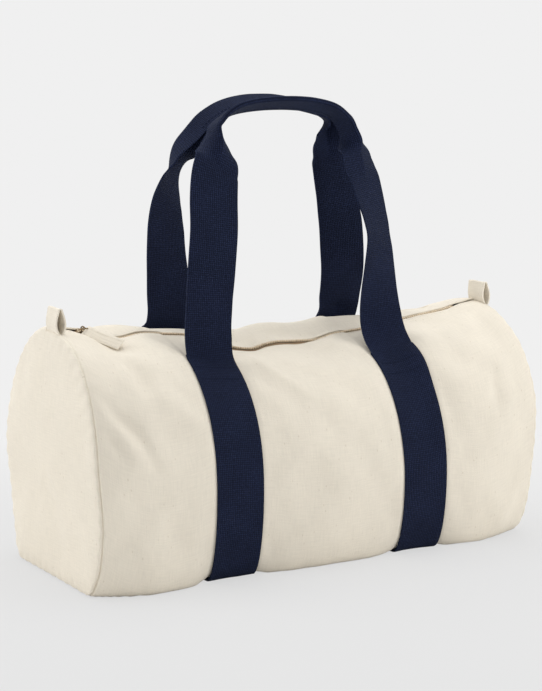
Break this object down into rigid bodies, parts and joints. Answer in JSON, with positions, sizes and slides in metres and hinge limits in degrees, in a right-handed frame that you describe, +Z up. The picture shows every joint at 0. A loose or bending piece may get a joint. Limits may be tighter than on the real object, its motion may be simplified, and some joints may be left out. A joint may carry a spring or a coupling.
{
  "type": "barrel bag",
  "caption": "Barrel bag of undyed canvas with rounded ends, navy webbing straps that go under the bag and form two carrying handles, a long top zip with a canvas pull, and a loop at each end.",
  "frame": {"origin": "on the floor, under the middle of the bag", "axes": "+X along the bag towards the end that the zip opens to, +Y across the bag towards the back, +Z up"},
  "size_m": [0.5136, 0.234, 0.4538],
  "materials": {
    "canvas": "plain woven cotton canvas, undyed, with dark flecks",
    "binding": "woven cotton tape",
    "webbing": "close-ribbed woven webbing, navy",
    "navy_thread": "heavy sewing thread",
    "zip_tape": "woven tape, tan",
    "zip_metal": "antique, dark"
  },
  "bodies": {
    "bag": {"body_panel": "canvas", "end_panel_left": "canvas", "end_panel_right": "canvas", "seam_binding_left": "binding", "seam_binding_right": "binding", "strap_left": "webbing", "strap_right": "webbing", "strap_stitching": "navy_thread", "zip_tape_left": "zip_tape", "zip_tape_right": "zip_tape", "zip_teeth_left": "zip_metal", "zip_teeth_right": "zip_metal", "zip_stop_left": "zip_metal", "zip_stop_right": "zip_metal", "side_loop_left": "canvas", "side_loop_right": "canvas"},
    "mouth_front": {"mouth_edge_front": "canvas", "zip_tape_front": "zip_tape", "zip_teeth_front": "zip_metal"},
    "mouth_back": {"mouth_edge_back": "canvas", "zip_tape_back": "zip_tape", "zip_teeth_back": "zip_metal"},
    "slider": {"zip_slider": "zip_metal"},
    "pull": {"zip_pull_link": "zip_metal", "zip_pull_tab": "canvas"},
    "front_handle": {"handle_front": "webbing", "grip_stitching_front": "navy_thread"},
    "back_handle": {"handle_back": "webbing", "grip_stitching_back": "navy_thread"}
  },
  "joints": [
    {"name": "slider_travel", "type": "hinge", "parent": "bag", "child": "slider", "pos_m": [0.008, 0, 1.31172], "axis": [0, -1, 0], "range_deg": [0, 22]},
    {"name": "pull_lift", "type": "hinge", "parent": "slider", "child": "pull", "pos_m": [-0.21191, 0, 0.2385], "axis": [-0.9039, -0.4003, -0.1508], "range_deg": [0, 140]},
    {"name": "mouth_front_fold", "type": "hinge", "parent": "bag", "child": "mouth_front", "pos_m": [0, -0.032, 0.20875], "axis": [1, 0, 0], "range_deg": [0, 90]},
    {"name": "mouth_back_fold", "type": "hinge", "parent": "bag", "child": "mouth_back", "pos_m": [0, 0.032, 0.22382], "axis": [-1, 0, 0], "range_deg": [0, 90]},
    {"name": "front_handle_swing", "type": "hinge", "parent": "bag", "child": "front_handle", "pos_m": [0, -0.05, 0.20299], "axis": [0.9995, 0, -0.0309], "range_deg": [0, 80]},
    {"name": "back_handle_swing", "type": "hinge", "parent": "bag", "child": "back_handle", "pos_m": [0, 0.056, 0.22271], "axis": [-0.9999, 0, 0.0132], "range_deg": [0, 110]}
  ]
}
